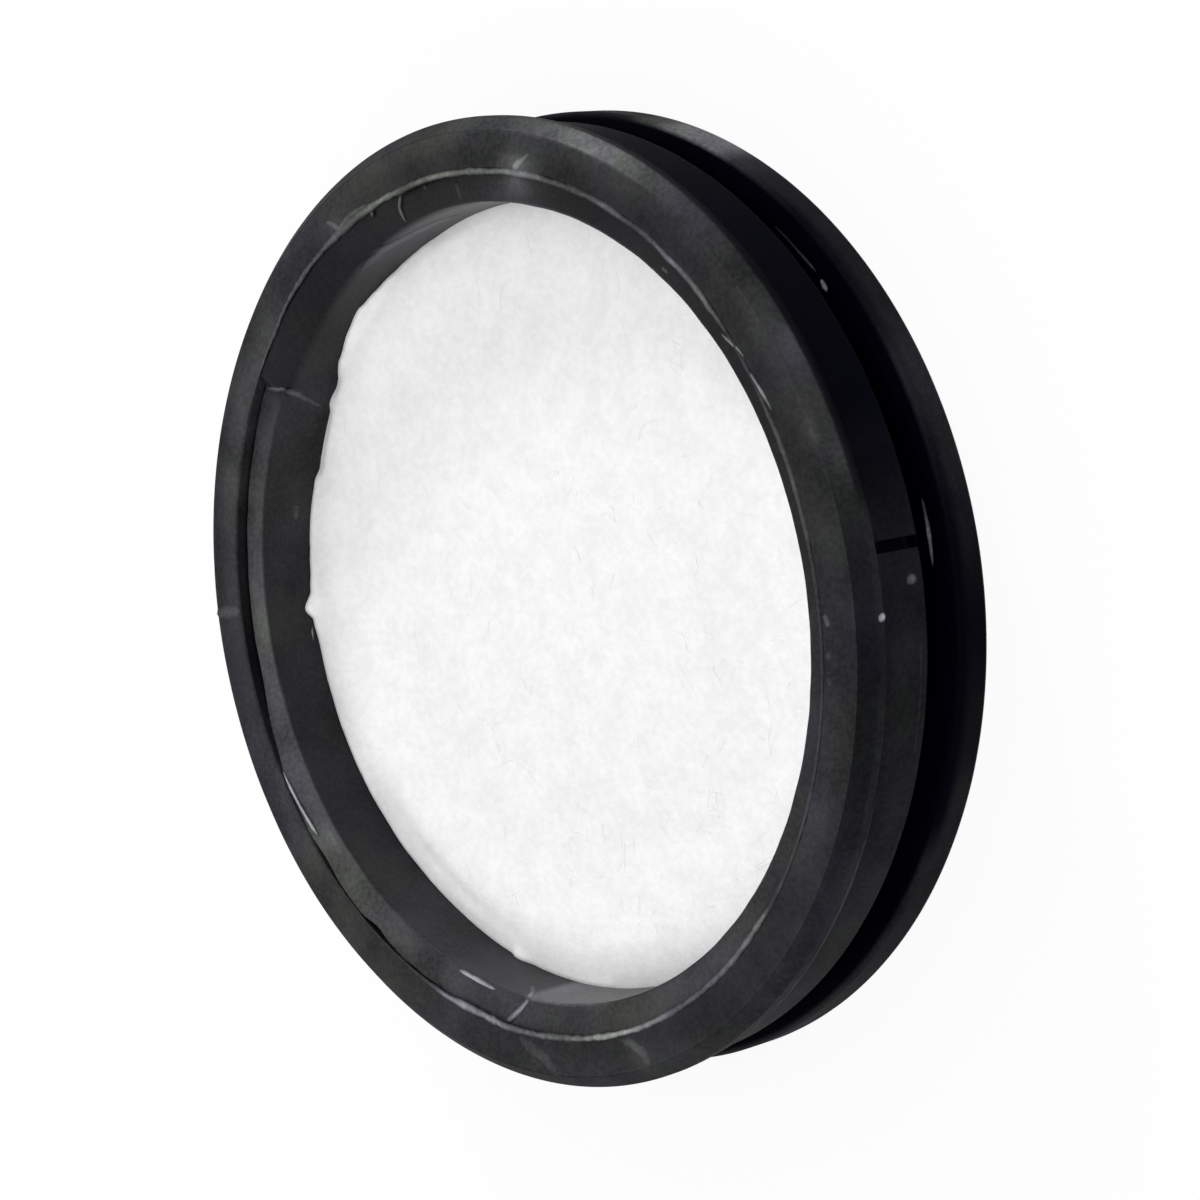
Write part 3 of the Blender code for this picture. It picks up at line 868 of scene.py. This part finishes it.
def fibre_tree():
    """Geometry tree: scatters fine curled fibres over the surface that it is given."""
    tree, given, result = new_group("loose_fibres", "GeometryNodeTree", [
        ("Geometry", GEOMETRY, None),
        ("Density", FLOAT, 1000000.0),
        ("Reach", FLOAT, 0.025),
        ("Length", FLOAT, 0.003),
        ("Thickness", FLOAT, 0.00003),
        ("Curl", FLOAT, 0.0012),
        ("Stand", FLOAT, 0.0),
        ("Seed", INTEGER, 4),
        ("Finish", MATERIAL, None),
    ], [("Geometry", GEOMETRY)])
    place = first_out(tree, "GeometryNodeInputPosition")
    flat, _ = split_height(tree, place)
    inside = calc(tree, "LESS_THAN", vector(tree, "LENGTH", flat), given["Reach"])
    scatter = first_out(tree, "GeometryNodeDistributePointsOnFaces", {
        "Mesh": given["Geometry"],
        "Density": calc(tree, "MULTIPLY", given["Density"], inside),
        "Seed": given["Seed"],
    })
    strand = first_out(
        tree, "GeometryNodeCurvePrimitiveLine", {"Start": (-0.5, 0.0, 0.0), "End": (0.5, 0.0, 0.0)})
    spin = random_number(tree, 0.0, 2 * math.pi, given["Seed"])
    tip = random_number(tree, -1.0, 1.0, calc(tree, "ADD", given["Seed"], 7))
    stretch = random_number(tree, 0.55, 1.35, calc(tree, "ADD", given["Seed"], 3))
    tilt = calc(tree, "MULTIPLY", given["Stand"], tip)
    turn = first_out(tree, "ShaderNodeCombineXYZ", {"Y": tilt, "Z": spin})
    placed = first_out(tree, "GeometryNodeInstanceOnPoints", {
        "Points": scatter,
        "Instance": first_out(tree, "GeometryNodeResampleCurve", {"Curve": strand, "Count": 9}),
        "Rotation": first_out(tree, "FunctionNodeEulerToRotation", {0: turn}),
        "Scale": calc(tree, "MULTIPLY", given["Length"], stretch),
    })
    loose = first_out(tree, "GeometryNodeRealizeInstances", {"Geometry": placed})
    drift = add_node(tree, "ShaderNodeTexNoise", {"Vector": place, "Scale": 420.0, "Detail": 1.0})
    swing = vector(tree, "SUBTRACT", drift.outputs["Color"], (0.5, 0.5, 0.5))
    curl = vector(
        tree, "SCALE", vector(tree, "MULTIPLY", swing, (1.0, 1.0, 0.14)),
        scale=calc(tree, "MULTIPLY", given["Curl"], 2.0))
    solid = first_out(tree, "GeometryNodeCurveToMesh", {
        "Curve": first_out(tree, "GeometryNodeSetPosition", {"Geometry": loose, "Offset": curl}),
        "Profile Curve": first_out(tree, "GeometryNodeCurvePrimitiveCircle", {
            "Resolution": 3,
            "Radius": calc(tree, "MULTIPLY", given["Thickness"], 0.5),
        }),
        "Fill Caps": True,
    })
    tree.links.new(finished(tree, solid, given["Finish"]), result["Geometry"])
    return tree


def ledge_height(angle, radius):
    """Height of the inner ring's ledge at a photo angle and a radius."""
    lift = curve_at(angle, FLANGE_LIFT) * MM * float(rise(radius, RETAINER_LIFT_CHANGE))
    inside = min(0.0, radius - OPENING_RADIUS - SHOULDER_RADIUS)
    drop = SHOULDER_RADIUS - math.sqrt(SHOULDER_RADIUS ** 2 - inside ** 2)
    return RETAINER_FRONT + lift - drop * curve_at(angle, SHOULDER)


def spot_on(surface, angle, across):
    """Point on a surface at a photo angle and a radius or height in millimetres, and its normal."""
    across *= MM
    up = Vector((0.0, 0.0, 1.0))
    if surface == "face":
        return round_point(angle, across, RING_DEPTH), up
    if surface == "ledge":
        return round_point(angle, across, ledge_height(angle, across)), up
    if surface == "rear":
        return round_point(angle, across, REAR_FLANGE_FRONT), up
    outward = round_point(angle, 1.0, 0.0)
    if surface == "wall":
        return round_point(angle, OPENING_RADIUS, across), -outward
    if surface == "side":
        return round_point(angle, RING_RADIUS, across), outward
    share = (BAND_FRONT - across) / (BAND_FRONT - BAND_REAR)
    return round_point(angle, BAND_RADIUS + (RIDGE_RADIUS - BAND_RADIUS) * share, across), outward


def steps_between(first, second, count):
    """Even steps from one knot to the next, without the last."""
    return [[start + (end - start) * step / count for start, end in zip(first, second)]
            for step in range(count)]


def ridge_path(surface, places, draw):
    """Close steps along a mark, each of (angle, across, half width, paleness), made a little uneven."""
    knots = []
    for first, second in zip(places, places[1:]):
        length = (spot_on(surface, *first[:2])[0] - spot_on(surface, *second[:2])[0]).length
        knots += steps_between(first, second, max(1, round(length / KNOT_SPACING)))
    knots.append(list(places[-1]))
    for knot in knots:
        knot[1] += draw.uniform(-0.12, 0.12) * knot[2]
        knot[2] *= draw.uniform(0.8, 1.2)
        knot[3] *= draw.uniform(0.75, 1.2)
    path = []
    for first, second in zip(knots, knots[1:]):
        path += steps_between(first, second, 3)
    return path + knots[-1:]


def ridge_piece(name, marks, material):
    """Low ridges with a bowed top, whose edges sink into the surface, carrying the surface's painted light
    and shade and a painted highlight palest along the crest.
    """
    draw = random.Random(MARK_SEED)
    points = []
    faces = []
    shading_and_marks = []
    for surface, *places in marks:
        path = ridge_path(surface, places, draw)
        for index, (angle, across, half_width, paleness) in enumerate(path):
            centre, normal = spot_on(surface, angle, across)
            before = spot_on(surface, *path[max(index - 1, 0)][:2])[0]
            after = spot_on(surface, *path[min(index + 1, len(path) - 1)][:2])[0]
            aside = normal.cross((after - before).normalized())
            share = index / (len(path) - 1)
            taper = max(0.1, min(1.0, 8 * share, 8 * (1 - share)) ** 0.5)
            width = 1.15 * half_width * MM * taper
            relief = min(0.22 * width, MARK_RELIEF)
            ground_shading = painted_surface_shading(surface, angle, across)
            for step in (-1.0, -0.6, -0.2, 0.2, 0.6, 1.0):
                crest = 1 - step * step
                points.append(centre + aside * (step * width) + normal * (relief * crest - MARK_EDGE_SINK))
                shading_and_marks.append(ground_shading + paleness * crest ** 1.5 * taper)
            for step in (1.0, -1.0):
                points.append(centre + aside * (step * width) - normal * MARK_BASE_SINK)
                shading_and_marks.append(ground_shading)
            base = len(points) - 8
            if index:
                for k in range(8):
                    after_k = base + (k + 1) % 8
                    faces.append((base + k, after_k, after_k - 8, base + k - 8))
        faces.append(tuple(range(base, base + 8)))
        faces.append(tuple(base - 8 * (len(path) - 1) + k for k in range(8)))
    piece = mesh_piece(name, points, [], faces)
    face_outwards(piece.data)
    paint(piece.data, "shading_and_marks", np.array(shading_and_marks))
    piece.data.shade_smooth()
    piece.data.materials.append(material)
    return piece


def edge_flash_with_highlight():
    """Mark for the thin ruffled flash along the front face's inner edge, with a painted highlight along it.
    """
    stops = np.array(EDGE_FLASH_HIGHLIGHT)
    places = []
    for angle in np.arange(stops[0, 0], stops[-1, 0], 1.0):
        shift, half_width, paleness = (float(np.interp(angle, stops[:, 0], stops[:, k])) for k in (1, 2, 3))
        places.append((float(angle), curve_at(angle, FACE_EDGE) + shift, half_width, paleness))
    return [("face", *places)]


def cloudy_tint_group():
    """Shader group: two tones in soft patches with finer speckle, as a mask and a colour."""
    tree, given, result = new_group("cloudy_tint", "ShaderNodeTree", [
        ("Dark", COLOUR, (0.01, 0.01, 0.01, 1.0)),
        ("Light", COLOUR, (0.02, 0.02, 0.02, 1.0)),
        ("Patch Scale", FLOAT, 150.0),
        ("Speckle Scale", FLOAT, 1300.0),
        ("Speckle Share", FLOAT, 0.4),
    ], [("Color", COLOUR), ("Mask", FLOAT)])
    place = object_place(tree)
    patch = fade(tree, noise(tree, place, given["Patch Scale"], detail=3.0), 0.32, 0.68)
    speckle = fade(tree, noise(tree, place, given["Speckle Scale"]), 0.35, 0.65)
    mask = blend_value(tree, given["Speckle Share"], patch, speckle)
    tree.links.new(blend_colour(tree, mask, given["Dark"], given["Light"]), result["Color"])
    tree.links.new(mask, result["Mask"])
    return tree


def hue_drift_group():
    """Shader group: lets a colour drift between a bluish and a greenish cast in soft patches."""
    tree, given, result = new_group("hue_drift", "ShaderNodeTree", [
        ("Color", COLOUR, (0.02, 0.02, 0.02, 1.0)),
        ("Share", FLOAT, 0.8),
        ("Patch Scale", FLOAT, 130.0),
    ], [("Color", COLOUR)])
    drift = fade(tree, noise(tree, object_place(tree), given["Patch Scale"]), 0.38, 0.62)
    cast = blend_colour(tree, drift, (0.96, 0.95, 1.12, 1.0), (0.99, 1.06, 0.90, 1.0))
    tinted = blend_colour(tree, given["Share"], given["Color"], cast, blend="MULTIPLY")
    tree.links.new(tinted, result["Color"])
    return tree


def mould_skin_group():
    """Shader group: height of a moulded skin, with fine grain and faint lines round the axis."""
    tree, given, result = new_group("mould_skin", "ShaderNodeTree", [
        ("Grain Scale", FLOAT, 2600.0),
        ("Grain Share", FLOAT, 0.5),
        ("Line Scale", FLOAT, 1500.0),
    ], [("Height", FLOAT)])
    place = object_place(tree)
    flat, up = split_height(tree, place)
    slow = vector(tree, "MULTIPLY", vector(tree, "NORMALIZE", flat), (1.6, 1.6, 0.0))
    across = calc(tree, "ADD", vector(tree, "LENGTH", flat), up)
    lift = first_out(tree, "ShaderNodeCombineXYZ", {"Z": calc(tree, "MULTIPLY", across, given["Line Scale"])})
    lines = noise(tree, vector(tree, "ADD", slow, lift), 1.0, detail=3.0, roughness=0.6)
    grain = noise(tree, place, given["Grain Scale"])
    tree.links.new(blend_value(tree, given["Grain Share"], lines, grain), result["Height"])
    return tree


def edge_rub_group():
    """Shader group: rubbed patches along the rounded edges of a turned piece."""
    tree, given, result = new_group("edge_rub", "ShaderNodeTree", [
        ("Color", COLOUR, (0.01, 0.01, 0.01, 1.0)),
        ("Rubbed", COLOUR, (0.05, 0.05, 0.05, 1.0)),
        ("Amount", FLOAT, 0.5),
        ("Patch Scale", FLOAT, 260.0),
    ], [("Color", COLOUR)])
    edge = fade(tree, painted_value(tree, "rounding"), 0.00021, 0.0004)
    cloud = noise(tree, object_place(tree), given["Patch Scale"], detail=3.0, roughness=0.6)
    patch = fade(tree, cloud, 0.42, 0.7)
    mask = calc(tree, "MULTIPLY", calc(tree, "MULTIPLY", edge, patch), given["Amount"])
    tree.links.new(blend_colour(tree, mask, given["Color"], given["Rubbed"]), result["Color"])
    return tree


def grey(value, blue=0.0):
    """A grey with a touch of blue, as a linear colour."""
    return value, value, value + blue, 1.0


def moulded_material(name, groups, dark, light, rubbed, roughness, specular, rub_amount):
    """Finish of a moulded black piece: cloudy tone, rubbed edges, painted light and shade with the marks'
    painted highlights, and fine skin.
    """
    material, tree, shader = new_material(name, {"Specular IOR Level": specular})
    tint = use_group(tree, groups["tint"], {
        "Dark": dark,
        "Light": light,
        "Patch Scale": 190.0,
        "Speckle Scale": 3200.0,
        "Speckle Share": 0.35,
    })
    rub = use_group(tree, groups["rub"], {"Color": tint["Color"], "Rubbed": rubbed, "Amount": rub_amount})
    skin = use_group(tree, groups["skin"], {})
    spread = first_out(tree, "ShaderNodeMapRange", {
        "Value": tint["Mask"],
        "To Min": roughness[0],
        "To Max": roughness[1],
    })
    bump = first_out(tree, "ShaderNodeBump", {"Strength": 0.6, "Distance": 0.00004, "Height": skin["Height"]})
    # The painted light and shade, broken up by the cloudy mask, lifts the colour towards pale grey.
    uneven = calc(tree, "MULTIPLY_ADD", tint["Mask"], 0.9, 0.55)
    share = calc(tree, "MULTIPLY", painted_value(tree, "shading_and_marks"), uneven)
    hue = use_group(tree, groups["hue"], {"Color": blend_colour(tree, share, rub["Color"], grey(0.35))})
    tree.links.new(hue["Color"], shader.inputs["Base Color"])
    tree.links.new(spread, shader.inputs["Roughness"])
    tree.links.new(bump, shader.inputs["Normal"])
    return material


def felt_material(name, groups):
    """Finish of the needled white felt: faint clouds, sheen and matted nap."""
    material, tree, shader = new_material(name, {
        "Roughness": 1.0,
        "Specular IOR Level": 0.1,
        "Sheen Weight": 0.15,
        "Sheen Roughness": 0.6,
    })
    tint = use_group(tree, groups["tint"], {
        "Dark": (0.89, 0.89, 0.90, 1.0),
        "Light": (0.985, 0.985, 0.98, 1.0),
        "Patch Scale": 420.0,
        "Speckle Scale": 1800.0,
        "Speckle Share": 0.45,
    })
    nap = noise(tree, object_place(tree), 2600.0, detail=4.0, roughness=0.65, distortion=0.8)
    bump = first_out(tree, "ShaderNodeBump", {"Strength": 0.35, "Distance": 0.00010, "Height": nap})
    toned = blend_colour(tree, painted_value(tree, "shade"), tint["Color"], (0.0, 0.0, 0.0, 1.0))
    tree.links.new(toned, shader.inputs["Base Color"])
    tree.links.new(bump, shader.inputs["Normal"])
    return material


def make_camera():
    """Camera at the photo's angle: down on the ring from +X, turned so that the picture stands."""
    towards = Vector((math.sin(CAMERA_TILT), 0.0, math.cos(CAMERA_TILT)))
    right = Vector((math.cos(CAMERA_TILT), 0.0, -math.sin(CAMERA_TILT)))
    up = Vector((0.0, 1.0, 0.0))
    aim = Vector((0.0, 0.0, RING_DEPTH)) + AIM_RIGHT * right - AIM_DOWN * up
    picture_right = math.cos(CAMERA_ROLL) * right + math.sin(CAMERA_ROLL) * up
    picture_up = -math.sin(CAMERA_ROLL) * right + math.cos(CAMERA_ROLL) * up
    turn = Matrix((picture_right, picture_up, towards)).transposed().to_4x4()
    data = bpy.data.cameras.new("photo_camera")
    data.lens = LENS
    data.sensor_width = SENSOR
    data.clip_start = 0.01
    camera = link(bpy.data.objects.new("photo_camera", data))
    place = Matrix.Translation(aim + CAMERA_DISTANCE * towards)
    camera.matrix_world = Matrix.Rotation(math.radians(PHOTO_TURN), 4, "Z") @ place @ turn
    bpy.context.scene.camera = camera


def make_light(name, direction, distance, size, power):
    """A square soft lamp in a direction from the part, looking at it."""
    data = bpy.data.lights.new(name, "AREA")
    data.shape = "SQUARE"
    data.size = size
    data.energy = power
    lamp = link(bpy.data.objects.new(name, data))
    towards = Vector(direction).normalized()
    lamp.location = towards * distance
    lamp.rotation_euler = towards.to_track_quat("Z", "Y").to_euler()


def rays_that_see(tree):
    """1 for rays from the camera, and 1 for mirrored or transmitted ones."""
    rays = add_node(tree, "ShaderNodeLightPath").outputs
    return rays["Is Camera Ray"], calc(tree, "MAXIMUM", rays["Is Glossy Ray"], rays["Is Transmission Ray"])


def make_floor():
    """Pale floor that reads as the white background and keeps the part's shadow."""
    material = bpy.data.materials.new("studio_floor")
    material.use_nodes = True
    tree = material.node_tree
    tree.nodes.clear()
    seen, mirrored = rays_that_see(tree)
    share = calc(tree, "ADD", calc(tree, "MULTIPLY", seen, 0.9), calc(tree, "MULTIPLY", mirrored, 0.15))
    matt = first_out(tree, "ShaderNodeBsdfDiffuse", {"Color": grey(0.85)})
    white = first_out(tree, "ShaderNodeEmission", {"Color": grey(1.0), "Strength": 1.0})
    mixed = first_out(tree, "ShaderNodeMixShader", {0: share, 1: matt, 2: white})
    add_node(tree, "ShaderNodeOutputMaterial", {"Surface": mixed})
    floor = mesh_piece("studio_floor", [(-3, -3, 0), (3, -3, 0), (3, 3, 0), (-3, 3, 0)], [], [(0, 1, 2, 3)])
    floor.data.materials.append(material)


def make_world():
    """Even pale surroundings, white where they are seen."""
    world = bpy.data.worlds.new("studio")
    bpy.context.scene.world = world
    world.use_nodes = True
    tree = world.node_tree
    tree.nodes.clear()
    seen, mirrored = rays_that_see(tree)
    ambient = 0.78
    shown = calc(tree, "MAXIMUM", seen, mirrored)
    strength = calc(tree, "ADD", calc(tree, "MULTIPLY", shown, 1 - ambient), ambient)
    sky = first_out(tree, "ShaderNodeBackground", {"Color": grey(1.0), "Strength": strength})
    add_node(tree, "ShaderNodeOutputWorld", {"Surface": sky})


def make_marks(rubber, shaded_dull_rubber, plastic):
    """Flash, creases and specks as low ridges on the rubber and the inner ring, their paleness partly painted
    highlights and glints.
    """
    for name, marks, finish, slot in (
            ("ring_marks", edge_flash_with_highlight() + list(RING_MARKS), rubber, "black_rubber"),
            ("side_marks", SIDE_MARKS, shaded_dull_rubber, "black_rubber"),
            ("inner_marks", INNER_MARKS, plastic, "black_plastic")):
        dress(ridge_piece(name, marks, finish), slot)


def make_felt(groups):
    """Felt disc with its loose fibres."""
    white = felt_material("white_felt", groups)
    disc = felt_disc()
    apply_tree(disc, felt_tree(), {"Finish": white})
    fibres = link(bpy.data.objects.new("felt_fibres", disc.data.copy()))
    apply_tree(fibres, fibre_tree(), {
        "Density": 200000.0,
        "Reach": 0.0252,
        "Length": 0.0013,
        "Thickness": 0.000018,
        "Curl": 0.0012,
        "Stand": 0.02,
        "Seed": 5,
        "Finish": white,
    })
    dress(disc, "white_felt", "filter_disc")
    dress(fibres, "white_felt")


def main():
    """Dress the filter and set the studio round it."""
    bpy.context.scene.view_settings.view_transform = "Standard"
    make_camera()
    make_world()
    make_floor()
    make_light("overhead", (0.36, 0.0, 0.9), 0.7, 0.4, 1.35)
    make_light("top_rim", (-0.2, 0.9, 0.37), 0.6, 0.12, 1.3)
    groups = {
        "tint": cloudy_tint_group(),
        "hue": hue_drift_group(),
        "skin": mould_skin_group(),
        "rub": edge_rub_group(),
    }
    rubber = moulded_material(
        "black_rubber", groups, dark=grey(0.007, 0.0015), light=grey(0.024, 0.0015), rubbed=grey(0.04),
        roughness=(0.4, 0.55), specular=0.06, rub_amount=0.35)
    # Dull rubber for the band, groove and sides: less gloss, and a near-black colour that is painted shade.
    shaded_dull_rubber = moulded_material(
        "shaded_dull_rubber", groups, dark=grey(0.0003, 0.002), light=grey(0.0008, 0.0025),
        rubbed=grey(0.001, 0.002), roughness=(0.5, 0.6), specular=0.015, rub_amount=0.0)
    plastic = moulded_material(
        "black_plastic", groups, dark=grey(0.005, 0.0012), light=grey(0.015, 0.0015), rubbed=grey(0.03),
        roughness=(0.32, 0.45), specular=0.10, rub_amount=0.3)
    tree = turned_tree()
    ring = turned_piece(
        "rubber_ring", mounting_ring_outline(), tree, (rubber, shaded_dull_rubber),
        wave_height=0.00004, trim_height=0.00007)
    draw_face_edge(ring)
    cut_notch(ring)
    dress(ring, "black_rubber", "mounting_ring")
    retainer = turned_piece(
        "inner_ring", retaining_ring_outline(), tree, (plastic, plastic),
        wave_height=0.00005, trim_height=0.00010)
    draw_retainer(retainer)
    retainer.data.set_sharp_from_angle(angle=SHARP_ANGLE)
    dress(retainer, "black_plastic", "retaining_ring")
    make_felt(groups)
    make_marks(rubber, shaded_dull_rubber, plastic)


main()
